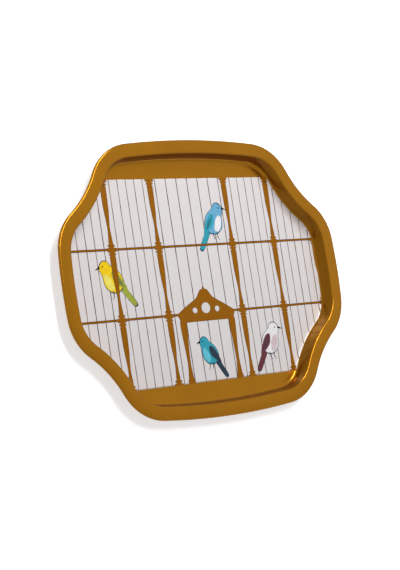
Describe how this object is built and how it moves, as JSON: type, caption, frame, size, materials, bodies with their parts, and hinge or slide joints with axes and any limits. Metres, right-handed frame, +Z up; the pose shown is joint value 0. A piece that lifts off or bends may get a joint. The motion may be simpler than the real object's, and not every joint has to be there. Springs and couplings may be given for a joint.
{
  "type": "serving tray",
  "caption": "Shaped serving tray of pressed tinplate with a curled, wired rim and a printed birdcage floor.",
  "frame": {"origin": "centre of the tray at the underside of its floor", "axes": "+X along the long side, +Y towards the top of the print, +Z up out of the well"},
  "size_m": [0.3998, 0.32, 0.0184],
  "materials": {
    "gold_lacquer": "gold lacquer on tinplate, fine orange-peel grain",
    "steel_wire": "bright drawn wire",
    "white_enamel": "glossy white enamel",
    "bar_ink": "glossy printed ink",
    "column_ink": "glossy printed ink",
    "bird_ink": "glossy printed inks of several colours"
  },
  "bodies": {
    "root": {"tray_pan": "gold_lacquer", "edge_wire": "steel_wire", "white_ground": "white_enamel", "bar_print": "bar_ink", "frame_print": "column_ink", "bird_print": "bird_ink"}
  },
  "joints": []
}
